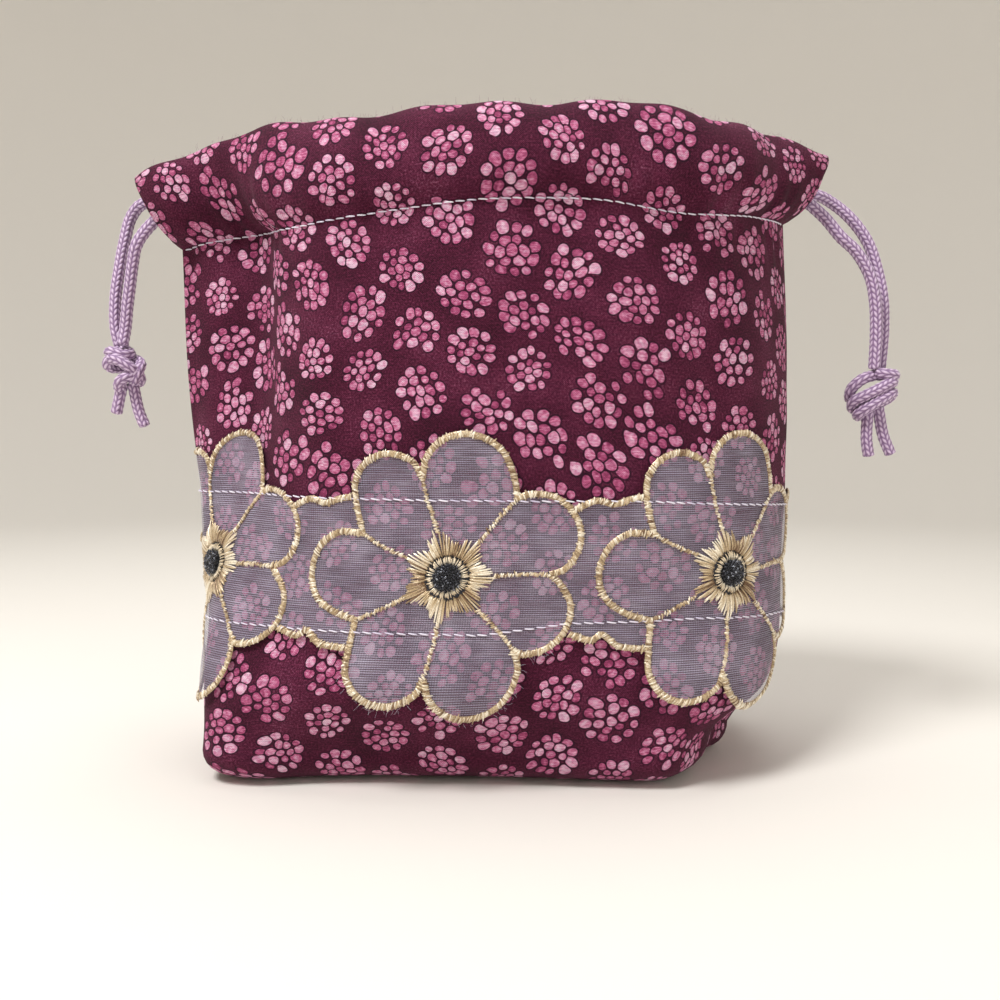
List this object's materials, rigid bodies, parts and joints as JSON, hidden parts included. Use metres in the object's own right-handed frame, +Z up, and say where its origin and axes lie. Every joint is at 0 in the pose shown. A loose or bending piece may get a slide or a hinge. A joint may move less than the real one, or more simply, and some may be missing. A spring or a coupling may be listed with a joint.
{
  "type": "kinchaku drawstring pouch",
  "caption": "Small standing drawstring pouch of printed cotton with a boxed base, a folded cord casing, an embroidered flower trim and knotted braided drawcords.",
  "frame": {"origin": "on the table under the middle of the pouch, at the bottom centre of the box round its cloth", "axes": "+Z up, -Y towards the trimmed front, +X from the left side seam to the right one seen from the front"},
  "size_m": [0.198, 0.0823, 0.1494],
  "materials": {
    "cotton": "plain-weave printed cotton, matte",
    "organza": "sheer organza with satin-stitch embroidery",
    "braid": "glossy braided acrylic cord"
  },
  "bodies": {
    "root": {"front_panel": "cotton", "back_panel": "cotton", "flower_trim": "organza", "left_cord_run": "braid", "right_cord_run": "braid", "left_cord_front_strand": "braid", "left_cord_back_strand": "braid", "right_cord_front_strand": "braid", "right_cord_back_strand": "braid", "left_cord_knot": "braid", "right_cord_knot": "braid"}
  },
  "joints": []
}
